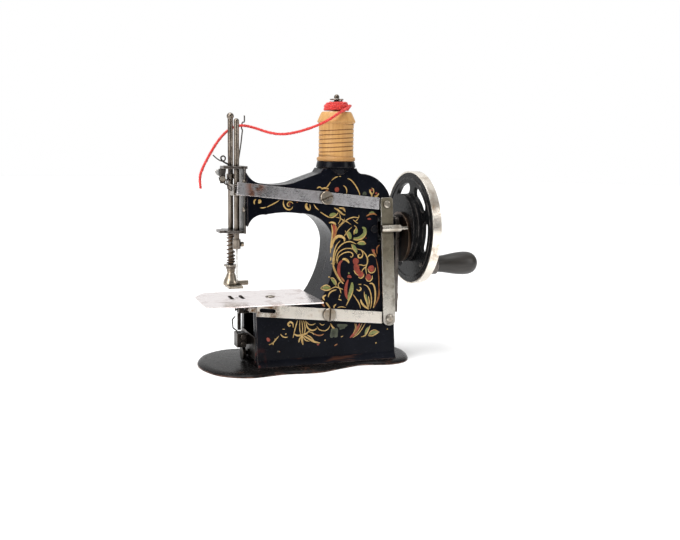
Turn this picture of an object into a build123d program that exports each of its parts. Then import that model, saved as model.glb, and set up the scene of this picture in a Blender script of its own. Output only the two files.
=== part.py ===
"""Toy hand-crank sewing machine, about 1910: pressed sheet body on a wavy foot, side levers, hand wheel.

Millimetres. +X runs from the needle to the hand wheel, +Z is up, and the front with the levers faces -Y.
The origin is on the table, under the middle of the machine.
"""
from build123d import *
from math import atan, cos, degrees, pi, radians, sin, tan
import os

# ---- driving dimensions -------------------------------------------------------------------------
BASE_TOP = 2.5            # height of the foot plate's top face
SHEET = 1.0               # pressed sheet thickness
FOOT_HALF = 21.3          # half depth of the body where it would meet the table
TAPER = 0.11              # the body's front and back faces lean in by this much per mm of height
BODY_RIGHT = 32.2
ARM_END = -59.4           # left end of the upper arm
BOX_END = -55.9           # left end of the lower arm
BOX_TOP = 40.0
SEAT_Z = 119.3            # top of the body under the spool seat
AXLE_Z = 81.6
WHEEL_R = 36.0
WHEEL_X0, WHEEL_X1 = 48.9, 54.8
DRUM_X = 42.8             # near face of the cam drum
HANDLE_Y, HANDLE_Z = -20.5, 60.4
HANDLE_END = 87.3
PIVOT_X = -11.0
UPPER_Z, LOWER_Z = 101.5, 31.5
TILT = 6.2                # the levers rest with their front ends up by this many degrees
REAR_ARM = 39.3           # pivot to link rivet
LEVER_W = 7.2
LEVER_T = 1.5
LINK_W = 8.0
NEEDLE_X, NEEDLE_Y = -63.1, 1.0
PRESSER_X, PRESSER_Y = -65.1, 8.0
BAR_R = 1.6
FLANGE_LOW, FLANGE_HIGH = 80.6, 118.6   # undersides of the head bracket's two flanges
FLANGE_T = 1.6
PLATE_TOP = 41.0
PLATE_T = 0.9
SPOOL_X = -1.0
YARN_D = 1.6
LOOPER_X, LOOPER_Y = -62.5, -2.0
FIT = 0.05                # radial running clearance
FOOT_RIVET_X, FOOT_RIVET_Y = (-44.0, 24.0), 16.6
HOLE_X, HOLE_Y, HOLE_R = -15.8, 25.6, 1.75    # holes for screwing the foot to a board
LEAN = degrees(atan(TAPER))
FRONT_ARM = (PIVOT_X - NEEDLE_X) / cos(radians(TILT))
LOOPER_ARM = 47.9         # pivot to the lower lever's front stud
ON_END = (Align.CENTER, Align.CENTER, Align.MIN)
parts = {}


# ---- helpers ------------------------------------------------------------------------------------
def half_depth(z):
    return FOOT_HALF - TAPER * z


def on_front(x, z, proud=0.0):
    """Plane on the body's leaning front face, its normal pointing out of the machine."""
    origin = Vector(x, -half_depth(z), z) + Vector(0, -cos(radians(LEAN)), sin(radians(LEAN))) * proud
    return Plane(origin=origin, x_dir=(1, 0, 0), z_dir=(0, -cos(radians(LEAN)), sin(radians(LEAN))))


def rod_x(x0, x1, r, y=0.0, z=AXLE_Z):
    return Pos(x0, y, z) * Rot(0, 90, 0) * Cylinder(r, x1 - x0, align=ON_END)


def rod_y(x, y0, y1, z, r):
    return Pos(x, y0, z) * Rot(-90, 0, 0) * Cylinder(r, y1 - y0, align=ON_END)


def rod_z(x, y, z0, z1, r):
    return Pos(x, y, z0) * Cylinder(r, z1 - z0, align=ON_END)


def block(x0, x1, y0, y1, z0, z1):
    return Pos(x0, y0, z0) * Box(x1 - x0, y1 - y0, z1 - z0, align=(Align.MIN, Align.MIN, Align.MIN))


def turned(points, about=(0, 0, 0)):
    """A turned piece: (radius, height) points revolved about a vertical axis."""
    profile = Plane.XZ * make_face(Polyline(*points, close=True))
    return Pos(*about) * revolve(profile, Axis.Z)


def wire(points, bend, r):
    """Round wire along straight runs with bends of one radius."""
    path = FilletPolyline(*points, radius=bend)
    start = Plane(origin=path @ 0, z_dir=path % 0)
    return sweep(start * Circle(r), path=path)


def slotted_screw(plane, head_r, head_t, shank_r, shank_len, turn):
    """Cheese-head screw with a slot; the plane's normal points out of the head."""
    head = Cylinder(head_r, head_t, align=ON_END)
    head = plane * chamfer(head.edges().group_by(Axis.Z)[-1], 0.25)
    shank = plane * Pos(0, 0, -shank_len) * Cylinder(shank_r, shank_len + 0.2, align=ON_END)
    slot = plane * Pos(0, 0, head_t) * Rot(0, 0, turn) * Box(head_r * 2.4, 0.9, 1.2)
    return head + shank - slot


# ---- foot plate ---------------------------------------------------------------------------------
def foot_face(inset):
    """The wavy foot seen from above: one lobed side and its mirror image, drawn in by inset."""
    lobes = [(-84.5, 14), (-77.5, 26), (-63, 33.6), (-42, 31.8), (-22, 34)]
    lobes += [(-5, 28.6), (9, 25.2), (28, 28.6), (41, 21)]
    middle = -20.0
    reach_x = 1 - inset / 67.0
    reach_y = 1 - inset / 34.0
    points = [(middle + (x - middle) * reach_x, y * reach_y) for x, y in [(-87.3, 0)] + lobes + [(47.2, 0)]]
    side = Spline(*points, tangents=[(0, 1), (0, -1)])
    return make_face([side, mirror(side, about=Plane.XZ)])


def build_foot():
    foot = extrude(foot_face(0), BASE_TOP) - extrude(foot_face(SHEET), BASE_TOP - SHEET)
    for side in (-1, 1):
        foot -= rod_z(HOLE_X, side * HOLE_Y, -1, BASE_TOP + 1, HOLE_R)
    parts["foot_plate"] = foot


# ---- body shells --------------------------------------------------------------------------------
def body_outline():
    """Front view of the body: arm, spool seat, shoulder, column, throat and box-shaped lower arm."""
    return [
        ThreePointArc((ARM_END, 116.4), (-56.4, 112.6), (-50.5, 110.3)),
        ThreePointArc((-50.5, 110.3), (-40.0, 109.4), (-31.0, 110.6)),
        Line((-31.0, 110.6), (-13.6, 116.7)),
        Line((-13.6, 116.7), (-12.0, SEAT_Z)),
        Line((-12.0, SEAT_Z), (9.6, SEAT_Z)),
        ThreePointArc((9.6, SEAT_Z), (10.9, 117.0), (14.4, 116.0)),
        ThreePointArc((14.4, 116.0), (26.6, 110.0), (BODY_RIGHT, 98.0)),
        Line((BODY_RIGHT, 98.0), (BODY_RIGHT, BASE_TOP)),
        Line((BODY_RIGHT, BASE_TOP), (BOX_END, BASE_TOP)),
        Line((BOX_END, BASE_TOP), (BOX_END, BOX_TOP)),
        Line((BOX_END, BOX_TOP), (-16.2, BOX_TOP)),
        ThreePointArc((-16.2, BOX_TOP), (-8.6, 56.0), (-6.3, 72.0)),
        ThreePointArc((-6.3, 72.0), (-11.8, 86.4), (-27.0, 92.4)),
        ThreePointArc((-27.0, 92.4), (-38.0, 93.2), (-48.5, 92.0)),
        ThreePointArc((-48.5, 92.0), (-56.6, 89.6), (ARM_END, 85.2)),
        Line((ARM_END, 85.2), (ARM_END, 116.4)),
    ]


def behind_front(depth):
    """Everything behind the leaning front face set back by depth, down to the seam."""
    deep = on_front(0, 60, -depth) * Pos(0, 0, -60) * Box(400, 400, 120)
    return deep & block(-100, 100, -40, 0, -10, 200)


def skirt():
    """The flared hem along the bottom of the front shell, thick enough to merge into the sheet."""
    top_z, low_z, low_y = 9.6, BASE_TOP, -23.4
    top_y = -half_depth(top_z) + 0.1
    flare = ThreePointArc((top_y, top_z), (-21.0, 5.4), (low_y, low_z))
    back = Polyline((low_y, low_z), (-half_depth(low_z) + 0.5, low_z), (top_y + 0.4, top_z), (top_y, top_z))
    return Pos(BOX_END, 0, 0) * extrude(Plane.YZ * make_face([flare, back]), BODY_RIGHT - BOX_END)


def body_block():
    """The body as if it were solid, both halves, for trimming what sits on it."""
    front = extrude(Plane.XZ * make_face(body_outline()), 30, both=True) & behind_front(0)
    return front + mirror(front, about=Plane.XZ)


def build_body():
    face = Plane.XZ * make_face(body_outline())
    inner = offset(face, -SHEET)
    solid = extrude(face, 30, both=True) & behind_front(0)
    core = extrude(inner, 30, both=True) & behind_front(SHEET)
    shell = solid - core
    floor_gap = block(BOX_END + SHEET, BODY_RIGHT - SHEET, -half_depth(BASE_TOP) + 1.2, 1, 0, BASE_TOP + 2)
    arm_mouth = block(-70, ARM_END + 1.2, -6.5, 1, 91.0, 112.4)
    box_mouth = block(-70, BOX_END + 1.2, -13.0, 1, 0, BOX_TOP - 2)
    notch = block(22.8, 60, -30, 1, AXLE_Z - 7.6, AXLE_Z + 7.6)
    pin_hole = rod_z(SPOOL_X, 0, 100, 130, 1.7)
    shell = shell + skirt() - floor_gap - arm_mouth - box_mouth - notch - pin_hole
    shell -= on_front(20.2, 82.4, -3) * Cylinder(1.62, 12)
    for z in (UPPER_Z, LOWER_Z):
        shell -= on_front(PIVOT_X, z, -3) * Cylinder(1.6, 12)
    for x in FOOT_RIVET_X:
        shell += block(x - 4, x + 4, -half_depth(BASE_TOP) + 0.6, -14.0, BASE_TOP, BASE_TOP + SHEET)
        shell -= rod_z(x, -FOOT_RIVET_Y, 0, 6, 1.2)
    parts["body_front_shell"] = shell
    parts["body_rear_shell"] = mirror(shell, about=Plane.XZ)
    stay = rod_y(20.2, -half_depth(82.4) - 0.6, half_depth(82.4) + 0.6, 82.4, 1.45)
    dome = rod_y(20.2, -half_depth(82.4) - 1.3, -half_depth(82.4) - 0.3, 82.4, 2.3)
    parts["body_stay_rivet"] = stay + dome + mirror(dome, about=Plane.XZ)
    rivets = []
    for x in FOOT_RIVET_X:
        for y in (-FOOT_RIVET_Y, FOOT_RIVET_Y):
            head = rod_z(x, y, BASE_TOP - SHEET - 0.7, BASE_TOP - SHEET, 2.0)
            shank = rod_z(x, y, BASE_TOP - SHEET - 0.1, BASE_TOP + SHEET + 0.1, 1.2)
            rivets.append(head + shank + rod_z(x, y, BASE_TOP + SHEET, BASE_TOP + SHEET + 0.7, 2.0))
            parts["foot_plate"] -= rod_z(x, y, 0, 6, 1.2)
    parts["foot_rivets"] = Compound(children=rivets)


# ---- spool --------------------------------------------------------------------------------------
def build_spool():
    seat_top = 123.3
    seat = turned([(1.65, 115.4), (8.7, 115.4), (9.3, 117.2), (10.4, 118.7), (12.2, 119.9), (12.1, 120.6),
                   (11.5, seat_top), (1.65, seat_top)], (SPOOL_X, 0, 0))
    parts["spool_seat"] = seat - body_block()
    pin = rod_z(SPOOL_X, 0, 116.0, 162.2, 1.6) + Pos(SPOOL_X, 0, 162.2) * Sphere(1.6)
    pin -= block(SPOOL_X - 3, SPOOL_X + 3, -0.3, 0.3, 161.9, 166)
    parts["spool_pin"] = pin
    z0 = seat_top + 0.15
    grooves = [z0 + 6.2 + 2.55 * i for i in range(6)]
    reel = [(1.6 + FIT, z0), (11.6, z0), (11.8, z0 + 0.5), (11.8, z0 + 1.7), (10.9, z0 + 2.5), (10.7, z0 + 3.0)]
    for g in grooves:
        reel += [(10.7, g - 0.35), (10.3, g), (10.7, g + 0.35)]
    reel += [(10.7, 146.3), (11.7, 147.0), (11.7, 147.8), (11.0, 149.0), (9.6, 152.4), (9.0, 153.2)]
    reel += [(1.6 + FIT, 153.2)]
    parts["spool"] = turned(reel, (SPOOL_X, 0, 0))
    wind_r, low, high = 8.7, 153.4, 160.3
    parts["yarn_winding"] = turned([(1.6, low), (7.2, low), (wind_r, low + 1.6), (wind_r - 0.2, high - 2.4),
                                    (6.2, high - 0.3), (4.2, high), (1.6, high)], (SPOOL_X, 0, 0))
    ring = [(1.6, high), (4.2, high), (4.2, high + 0.7), (1.6, high + 0.7)]
    parts["pin_washer"] = turned(ring, (SPOOL_X, 0, 0))


# ---- yarn ---------------------------------------------------------------------------------------
YARN_ROUTE = [
    (7.3, -3.0, 157.6), (2.8, -8.4, 155.3), (-3.6, -12.4, 152.3), (-11.2, -14.0, 147.6), (-19.0, -10.2, 143.6),
    (-27.2, -5.4, 140.6), (-35.4, -1.2, 138.9), (-43.4, 2.2, 140.0), (-50.6, 5.4, 142.7), (-57.6, 8.8, 144.4),
    (-63.8, 11.6, 142.6), (-69.4, 11.0, 137.9), (-74.2, 9.0, 132.0), (-78.4, 7.2, 125.6), (-82.2, 6.0, 119.0),
    (-84.6, 5.4, 112.6), (-83.7, 5.1, 106.8),
]


def yarn_radii(route):
    radii = []
    for before, here, after in zip(route, route[1:], route[2:]):
        a = Vector(*here) - Vector(*before)
        b = Vector(*after) - Vector(*here)
        turn = radians(a.get_angle(b))
        radii.append(0.45 * min(a.length, b.length) / tan(turn / 2))
    return radii


def build_yarn():
    radii = yarn_radii(YARN_ROUTE)
    path = FilletPolyline(*YARN_ROUTE, radius=radii)
    strand = sweep(Plane(origin=path @ 0, z_dir=path % 0) * Circle(YARN_D / 2), path=path)
    section = pi * (YARN_D / 2) ** 2
    print("yarn bend radii", [round(r, 1) for r in radii])
    print("yarn length %.1f" % path.length)
    print("volume over section times length %.3f" % (strand.volume / section / path.length))
    parts["yarn_strand"] = strand - parts["yarn_winding"]


# ---- hand wheel ---------------------------------------------------------------------------------
def kidney(centre_angle, inner_r, outer_r, spread):
    """Round-ended slot in the wheel's web, along an arc about the axle."""
    mid_r = (inner_r + outer_r) / 2
    half = (outer_r - inner_r) / 2
    angles = [radians(centre_angle + k * spread) for k in (-1, 0, 1)]
    spine = ThreePointArc(*[(-mid_r * cos(a), AXLE_Z + mid_r * sin(a)) for a in angles])
    return Pos(WHEEL_X0 - 2, 0, 0) * extrude(Plane.YZ * make_face(offset(spine, half).edges()), 8)


def build_wheel():
    ring = rod_x(WHEEL_X0, WHEEL_X1, WHEEL_R - 1.0) - rod_x(WHEEL_X0, WHEEL_X1, WHEEL_R - 3.6)
    web = rod_x(WHEEL_X0, WHEEL_X0 + 2.4, WHEEL_R - 3.5)
    bead = rod_x(WHEEL_X0 - 0.4, WHEEL_X0 + 0.2, 32.0) - rod_x(WHEEL_X0 - 0.5, WHEEL_X0 + 0.3, 31.3)
    hub = rod_x(WHEEL_X0, WHEEL_X1 - 1.2, 8.0)
    wheel = ring + web + bead + hub
    for k in range(5):
        wheel -= kidney(-10 + 60 * k, 21.9, 28.6, 15)
    wheel -= rod_x(40, 60, 2.6)
    wheel -= rod_x(40, 60, 1.5, HANDLE_Y, HANDLE_Z)
    parts["handwheel"] = wheel
    parts["wheel_tyre"] = rod_x(WHEEL_X0 + 0.2, WHEEL_X1, WHEEL_R) - rod_x(WHEEL_X0, 60, WHEEL_R - 1.0)
    drum = rod_x(DRUM_X, WHEEL_X0, 21.7) - (rod_x(DRUM_X + 2.2, DRUM_X + 3.4, 23) - rod_x(DRUM_X, 60, 21.0))
    parts["cam_drum"] = drum - rod_x(40, 60, 2.6)
    cam = rod_x(DRUM_X - 1.9, DRUM_X, 15.8, -3.0, AXLE_Z - 5.4)
    parts["eccentric_cam"] = cam - rod_x(40, 60, 2.6)
    shaft = rod_x(25.6, 57.2, 2.6) + rod_x(25.0, 27.2, 4.4)
    parts["wheel_shaft"] = shaft
    nut = rod_x(WHEEL_X1 - 1.2, WHEEL_X1 + 1.6, 4.6) - rod_x(50, 60, 2.6)
    parts["shaft_nut"] = nut
    parts["bearing_tube"] = rod_x(27.7, DRUM_X - 2.3, 7.0) - rod_x(20, 60, 2.6 + FIT)
    stud = rod_x(WHEEL_X1 + 0.1, 58.2, 6.4, HANDLE_Y, HANDLE_Z) + rod_x(51.3, 56.0, 2.6, HANDLE_Y, HANDLE_Z)
    stud += rod_x(48.4, 86.0, 1.5, HANDLE_Y, HANDLE_Z)
    parts["crank_stud"] = stud
    handle_x = 58.4
    grip = Plane.XY * make_face([
        Polyline((0, 1.55), (0, 4.7), (1.2, 5.1)),
        Spline((1.2, 5.1), (10.0, 6.2), (19.0, 7.25), (25.6, 6.2), (28.6, 2.6)),
        Polyline((28.6, 2.6), (28.6, 1.55), (0, 1.55)),
    ])
    parts["handle_grip"] = Pos(handle_x, HANDLE_Y, HANDLE_Z) * revolve(grip, Axis.X)
    cap = rod_x(HANDLE_END - 0.25, HANDLE_END, 2.4, HANDLE_Y, HANDLE_Z)
    parts["handle_end_cap"] = cap + rod_x(86.0, HANDLE_END - 0.2, 1.5, HANDLE_Y, HANDLE_Z)


def build_end_bracket():
    plate = block(37.0, 39.2, -8.0, 8.0, 28.6, 90.0)
    plate = fillet(plate.edges().filter_by(Axis.X).group_by(Axis.Z)[-1], 5.0)
    feet = block(BODY_RIGHT, 37.2, -6.0, 6.0, 31.0, 44.0) + block(BODY_RIGHT, 37.2, -6.0, 6.0, 62.0, 70.0)
    parts["end_bracket"] = plate + feet - rod_x(30, 60, 7.0) - rod_x(30, 60, 1.5, 0, 37.4)
    seat = Plane(origin=(39.2, 0, 37.4), x_dir=(0, 1, 0), z_dir=(1, 0, 0))
    parts["end_bracket_screw"] = slotted_screw(seat, 3.6, 2.6, 1.5, 8.6, 20)
    for name in ("body_front_shell", "body_rear_shell"):
        parts[name] -= rod_x(20, 60, 1.5, 0, 37.4)


# ---- side levers and link -----------------------------------------------------------------------
def lever(z, front_len, stud_len, stud_depth, slot=None):
    """Flat lever on its pivot, front end up by TILT, with a thin tab that goes under the link."""
    frame = on_front(PIVOT_X, z, 0.3)
    step = REAR_ARM - LINK_W / 2 - 0.6
    bar = Pos((step - front_len) / 2, 0, LEVER_T / 2) * Box(step + front_len, LEVER_W, LEVER_T)
    tab = Pos(REAR_ARM, 0, 0.35) * Cylinder(3.2, 0.7) + Pos(REAR_ARM - 3.0, 0, 0.35) * Box(6.0, 6.4, 0.7)
    stud = Pos(-stud_len, 0, LEVER_T - stud_depth) * Cylinder(1.1, stud_depth, align=ON_END)
    shape = bar + tab + stud
    shape -= Cylinder(2.4 + FIT, 8)
    shape -= Pos(REAR_ARM, 0, 0) * Cylinder(1.3 + FIT, 8)
    if slot:
        cut = extrude(SlotOverall(slot[1] - slot[0], 2.5), 8, both=True)
        shape -= Pos((slot[0] + slot[1]) / 2, 0.2, 0) * cut
    return frame * Rot(0, 0, -TILT) * shape


def link_point(along):
    """Place on the link: at the upper rivet, then along mm down the link."""
    x = PIVOT_X + REAR_ARM * cos(radians(TILT))
    drop = (REAR_ARM * sin(radians(TILT)) + along) * cos(radians(LEAN))
    return x, UPPER_Z - drop


def build_levers():
    stud_reach = (half_depth(107.0) - 0.9) / cos(radians(LEAN)) + 0.3 + LEVER_T
    parts["upper_lever"] = lever(UPPER_Z, FRONT_ARM + 2.4, FRONT_ARM, stud_reach)
    low = lever(LOWER_Z, 45.0, LOOPER_ARM, 16.6, (-43.6, -33.6))
    neck = Pos(-46.8, 0, 0.5) * Box(5.0, 2.6, 1.0)
    parts["lower_lever"] = low + on_front(PIVOT_X, LOWER_Z, 0.3) * Rot(0, 0, -TILT) * neck
    for name, z, turn in (("upper_pivot_screw", UPPER_Z, 20), ("lower_pivot_screw", LOWER_Z, 84)):
        seat = on_front(PIVOT_X, z, LEVER_T + 0.4)
        screw = slotted_screw(seat, 4.0, 1.3, 1.55, 5.4, turn)
        parts[name] = screw + on_front(PIVOT_X, z, 0.0) * Cylinder(2.4, LEVER_T + 0.5, align=ON_END)
    length = (UPPER_Z - LOWER_Z) / cos(radians(LEAN))
    x, z = link_point(0)
    frame = on_front(x, z, 1.2)
    bar = Pos(0, -(length + 0.2) / 2, 0.8) * Box(LINK_W, length + 8.6, 1.6)
    bar = fillet(bar.edges().filter_by(Axis.Z).group_by(Axis.Y)[-1], 1.6)
    bar = fillet(bar.edges().filter_by(Axis.Z).group_by(Axis.Y)[0], 3.4)
    for y in (0, -length):
        bar -= Pos(0, y, 0) * Cylinder(1.3, 8)
    parts["link_bar"] = frame * bar
    for name, down in (("link_rivet_upper", 0), ("link_rivet_lower", length)):
        rx, rz = link_point(down)
        rivet = Cylinder(1.3, 2.9, align=ON_END)
        head = Pos(0, 0, 2.5) * Cylinder(2.3, 0.6, align=ON_END)
        dome = Pos(0, 0, 3.1) * Cone(2.3, 1.4, 0.4, align=ON_END)
        parts[name] = on_front(rx, rz, 0.3) * (rivet + head + dome)
    px, pz = link_point(14.4)
    pin_y = -half_depth(pz) - 4.7
    pin = rod_x(23.2, 36.0, 2.25, pin_y, pz) + rod_x(35.9, DRUM_X - 2.3, 1.2, pin_y, pz)
    parts["follower_pin"] = pin - parts["link_bar"]


# ---- needle and presser bars --------------------------------------------------------------------
def build_head():
    top = FLANGE_HIGH + FLANGE_T
    web = block(ARM_END - 1.0, ARM_END - 0.05, -7.6, 12.4, FLANGE_LOW, top)
    high = block(-68.4, -57.9, -5.0, 12.4, FLANGE_HIGH, top) + block(-72.3, -68.3, -5.0, 4.4, FLANGE_HIGH, top)
    low = block(-70.0, ARM_END, -5.0, 12.4, FLANGE_LOW, FLANGE_LOW + FLANGE_T)
    low += block(-73.8, -69.9, -1.0, 9.0, FLANGE_LOW, FLANGE_LOW + FLANGE_T)
    ear = block(-72.4, -69.2, 3.4, 4.4, 109.8, FLANGE_HIGH + 0.5)
    bracket = web + high + low + ear
    for x, y in ((NEEDLE_X, NEEDLE_Y), (PRESSER_X, PRESSER_Y)):
        bracket -= rod_z(x, y, 70, 130, BAR_R + FIT)
    for z in (95.0, 111.0):
        bracket -= rod_x(-62, -58, 1.0, -6.9, z)
    parts["head_bracket"] = bracket - rod_y(-70.9, 0, 8, 112.5, 0.9)
    screws = []
    for z in (95.0, 111.0):
        screws.append(rod_x(-61.2, ARM_END - 1.0, 1.6, -6.9, z) + rod_x(-61.2, ARM_END - 0.05, 1.0, -6.9, z))
    parts["head_bracket_screws"] = Compound(children=screws)
    pin_ends = rod_y(-70.9, 7.7, 8.1, 112.5, 1.5) + rod_y(-70.9, 2.4, 3.3, 112.5, 1.6)
    parts["lifter_pin"] = rod_y(-70.9, 2.9, 7.9, 112.5, 0.9) + pin_ends
    near, far = 4.65, 5.3
    hub = rod_y(-70.9, near, far, 112.5, 2.1)
    finger = block(-70.9, -67.05, near, 7.6, 111.2, 112.3)
    arm = block(-72.3, -70.3, near, far, 112.5, 117.0)
    tab = rod_y(-71.9, near, far, 117.4, 3.4) & block(-80, -60, 0, 10, 110, 118.3)
    tab &= rod_y(-70.9, 0, 8, 112.5, 6.2)          # swings clear of the upper flange's corner
    parts["presser_lifter"] = hub + finger + arm + tab - rod_y(-70.9, 0, 8, 112.5, 0.9 + FIT)


def build_needle_bar():
    bar = rod_z(NEEDLE_X, NEEDLE_Y, 70.7, 146.4, BAR_R)
    parts["needle_bar"] = bar + Pos(NEEDLE_X, NEEDLE_Y, 146.4) * Sphere(BAR_R)
    stud_z = UPPER_Z + FRONT_ARM * sin(radians(TILT)) * cos(radians(LEAN)) - TAPER * (half_depth(107) - 3.0)
    driver = block(-66.4, -61.2, -5.0, 3.6, stud_z - 3.4, stud_z + 3.0)
    driver -= rod_z(NEEDLE_X, NEEDLE_Y, 90, 120, BAR_R)
    driver -= block(-65.4, -60.0, -6.0, -0.7, stud_z - 2.0, stud_z + 1.7)
    parts["needle_bar_driver"] = driver
    clamp = rod_z(NEEDLE_X, NEEDLE_Y, 70.9, 76.6, 2.4) - rod_z(NEEDLE_X, NEEDLE_Y, 60, 80, BAR_R)
    parts["needle_clamp"] = clamp - rod_x(-63, -58, 0.6 + FIT, NEEDLE_Y, 73.6)
    screw = rod_x(-61.4, -60.0, 0.6, NEEDLE_Y, 73.6) + rod_x(-60.6, -59.0, 1.5, NEEDLE_Y, 73.6)
    parts["needle_clamp_screw"] = screw - block(-59.4, -58, NEEDLE_Y - 0.25, NEEDLE_Y + 0.25, 70, 76)
    blade = rod_z(NEEDLE_X, NEEDLE_Y, 53.6, 70.7, 0.55)
    tip = Pos(NEEDLE_X, NEEDLE_Y, 50.2) * Cone(0.1, 0.55, 3.4, align=ON_END)
    parts["needle"] = blade + tip


def build_presser():
    x, y = PRESSER_X, PRESSER_Y
    parts["presser_bar"] = rod_z(x, y, 56.0, 148.2, BAR_R) + Pos(x, y, 149.3) * Sphere(2.15)
    collar = rod_z(x, y, 112.4, 115.4, 2.4)
    parts["presser_collar"] = collar - rod_z(x, y, 100, 130, BAR_R)
    parts["presser_spring"] = rod_z(x, y, 60.6, FLANGE_LOW, 2.7) - rod_z(x, y, 50, 90, 1.9)
    washer = rod_z(x, y, 59.6, 60.6, 4.3) + rod_z(x, y, 58.0, 59.6, 2.9)
    parts["spring_washer"] = washer - rod_z(x, y, 50, 90, BAR_R)
    bell = turned([(0, 57.8), (2.5, 57.8), (2.6, 56.4), (2.2, 55.6), (3.0, 53.6), (4.3, 51.0),
                   (4.7, 49.4), (4.6, 48.2), (0, 48.2)], (x, y, 0)) - rod_z(x, y, 56.0, 90, BAR_R)
    sole = block(x - 3.4, x + 5.4, -1.6, y + 2.0, 47.0, 48.3)
    sole -= block(NEEDLE_X - 1.0, NEEDLE_X + 1.0, NEEDLE_Y - 1.2, NEEDLE_Y + 1.2, 40, 50)
    toe = rod_x(x + 3.0, x + 10.6, 1.5, y, 49.0)
    parts["presser_foot"] = bell + sole + toe


# ---- needle plate, feed and looper --------------------------------------------------------------
def build_plate():
    low = PLATE_TOP - PLATE_T
    corners = [(-87.3, -26.5), (-16.6, -26.5), (-16.6, 24.0), (-78.5, 24.0), (-83.0, 18.0), (-87.3, 9.0)]
    outline = Polyline(*corners, close=True)
    plate = Pos(0, 0, low) * extrude(make_face(outline), PLATE_T)
    plate = fillet(plate.edges().filter_by(Axis.Z).group_by(Axis.Y)[0], 1.2)
    for side in (-1, 1):
        plate -= Pos(NEEDLE_X + side * 3.3, 2.2, low - 1) * extrude(SlotOverall(11.4, 2.2, rotation=90), 4)
    plate -= rod_z(NEEDLE_X, NEEDLE_Y, 30, 50, 1.0)
    plate -= rod_z(-42.6, 0, 30, 50, 1.2)
    parts["needle_plate"] = plate
    seat = Plane(origin=(-42.6, 0, PLATE_TOP), x_dir=(1, 0, 0), z_dir=(0, 0, 1))
    parts["plate_screw"] = slotted_screw(seat, 2.9, 0.5, 1.2, 4.4, 35)
    for name in ("body_front_shell", "body_rear_shell"):
        parts[name] -= rod_z(-42.6, 0, 30, 45, 1.2)
    feed = block(-67.0, -59.2, 5.6, 8.0, 35.0, 39.6) + block(-60.4, -40.0, 5.6, 8.0, 35.0, 37.0)
    for side in (-1, 1):
        cx = NEEDLE_X + side * 3.3
        feed += block(cx - 0.75, cx + 0.75, 1.0, 7.0, 39.0, PLATE_TOP + 0.1)
        for k in range(6):
            feed += Pos(cx, 1.5 + k, PLATE_TOP + 0.1) * Rot(45, 0, 0) * Box(1.5, 0.62, 0.62)
    parts["feed_dog"] = feed


def build_looper():
    guide = block(-64.6, -59.0, -5.6, 2.4, 11.8, 20.4) + block(-59.2, -56.3, -3.4, 2.4, 13.0, 19.0)
    guide += block(-56.5, BOX_END, -16.4, 16.4, 12.6, 19.6)
    guide -= rod_z(LOOPER_X, LOOPER_Y, 0, 30, 1.1 + FIT)
    for z in (13.8, 18.2):
        guide -= rod_y(-61.0, -7, -4.6, z, 0.8)
    parts["looper_guide"] = guide
    screws = [rod_y(-61.0, -6.6, -5.6, z, 1.5) + rod_y(-61.0, -5.7, -4.6, z, 0.8) for z in (13.8, 18.2)]
    parts["looper_guide_screws"] = Compound(children=screws)
    stud_z = LOWER_Z + LOOPER_ARM * sin(radians(TILT)) * cos(radians(LEAN)) - TAPER * (half_depth(36) - 3.0)
    slide = rod_z(LOOPER_X, LOOPER_Y, 22.0, 37.8, 1.1)
    head = block(-63.7, -57.2, -6.4, -0.6, stud_z - 2.2, stud_z + 2.4)
    head -= block(-60.6, -56.0, -7.0, 0, stud_z - 1.45, stud_z + 1.55)
    parts["looper_slide"] = slide + head
    hook = wire([(-64.6, -1.4, 33.6), (-64.6, -1.4, 37.2), (-64.6, 1.6, 37.5), (-65.6, 2.6, 37.5)], 0.6, 0.4)
    hook += rod_x(-64.6, -63.4, 0.45, -1.4, 34.4)
    parts["looper_hook"] = hook - parts["looper_slide"]
    loop = [(-64.4, -4.6, 20.4), (-64.4, -4.6, 22.0), (-67.0, -5.0, 24.0)]
    loop += [(-67.4, -5.0, 29.0), (-65.6, -5.0, 31.0)]
    parts["looper_thread_wire"] = wire(loop, 0.9, 0.4)
    knob = rod_x(-60.9, -59.0, 4.2, -1.0, 7.3) + rod_x(-59.1, -50.0, 1.2, -1.0, 7.3)
    parts["adjusting_knob"] = knob
    collar = rod_x(-57.2, -55.0, 2.4, -1.0, 7.3) - rod_x(-60, -50, 1.2 + FIT, -1.0, 7.3)
    stay = block(-56.4, BOX_END, -16.4, 16.4, 5.9, 12.6) - rod_x(-60, -50, 2.4, -1.0, 7.3)
    parts["knob_bracket"] = collar + stay


# ---- thread guides ------------------------------------------------------------------------------
def build_guides():
    top = FLANGE_HIGH + FLANGE_T
    eye_y, eye_z, eye_r = 8.8, 143.9, 2.1
    left, right = eye_y - eye_r, eye_y + eye_r
    stem = [(-61.0, 5.4, top), (-61.0, 5.4, top + 2.4), (-59.2, 5.9, top + 13)]
    eye = [(-58.0, left, eye_z - eye_r), (-57.7, right, eye_z - eye_r), (-57.2, right, eye_z + eye_r),
           (-56.8, left, eye_z + eye_r), (-57.0, left - 0.5, eye_z + 6.0)]
    parts["long_thread_guide"] = wire(stem + eye, 1.3, 0.4)
    short = [(-70.6, 2.4, top), (-70.6, 2.4, 122.2), (-72.6, 1.6, 123.4)]
    short += [(-74.6, 0.4, 124.6), (-77.0, -0.6, 126.4)]
    parts["short_thread_guide"] = wire(short, 0.5, 0.45)
    tension = [(-66.8, -3.4, FLANGE_HIGH), (-68.8, -3.8, 115.4), (-70.2, -4.0, 111.4), (-69.4, -4.0, 107.0),
               (-66.8, -4.0, 105.4), (-67.6, -4.2, 108.2), (-71.8, -4.4, 110.2)]
    parts["tension_hook"] = wire(tension, 0.5, 0.42)
    for name in ("long_thread_guide", "short_thread_guide", "tension_hook"):
        parts[name] -= parts["head_bracket"]


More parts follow.
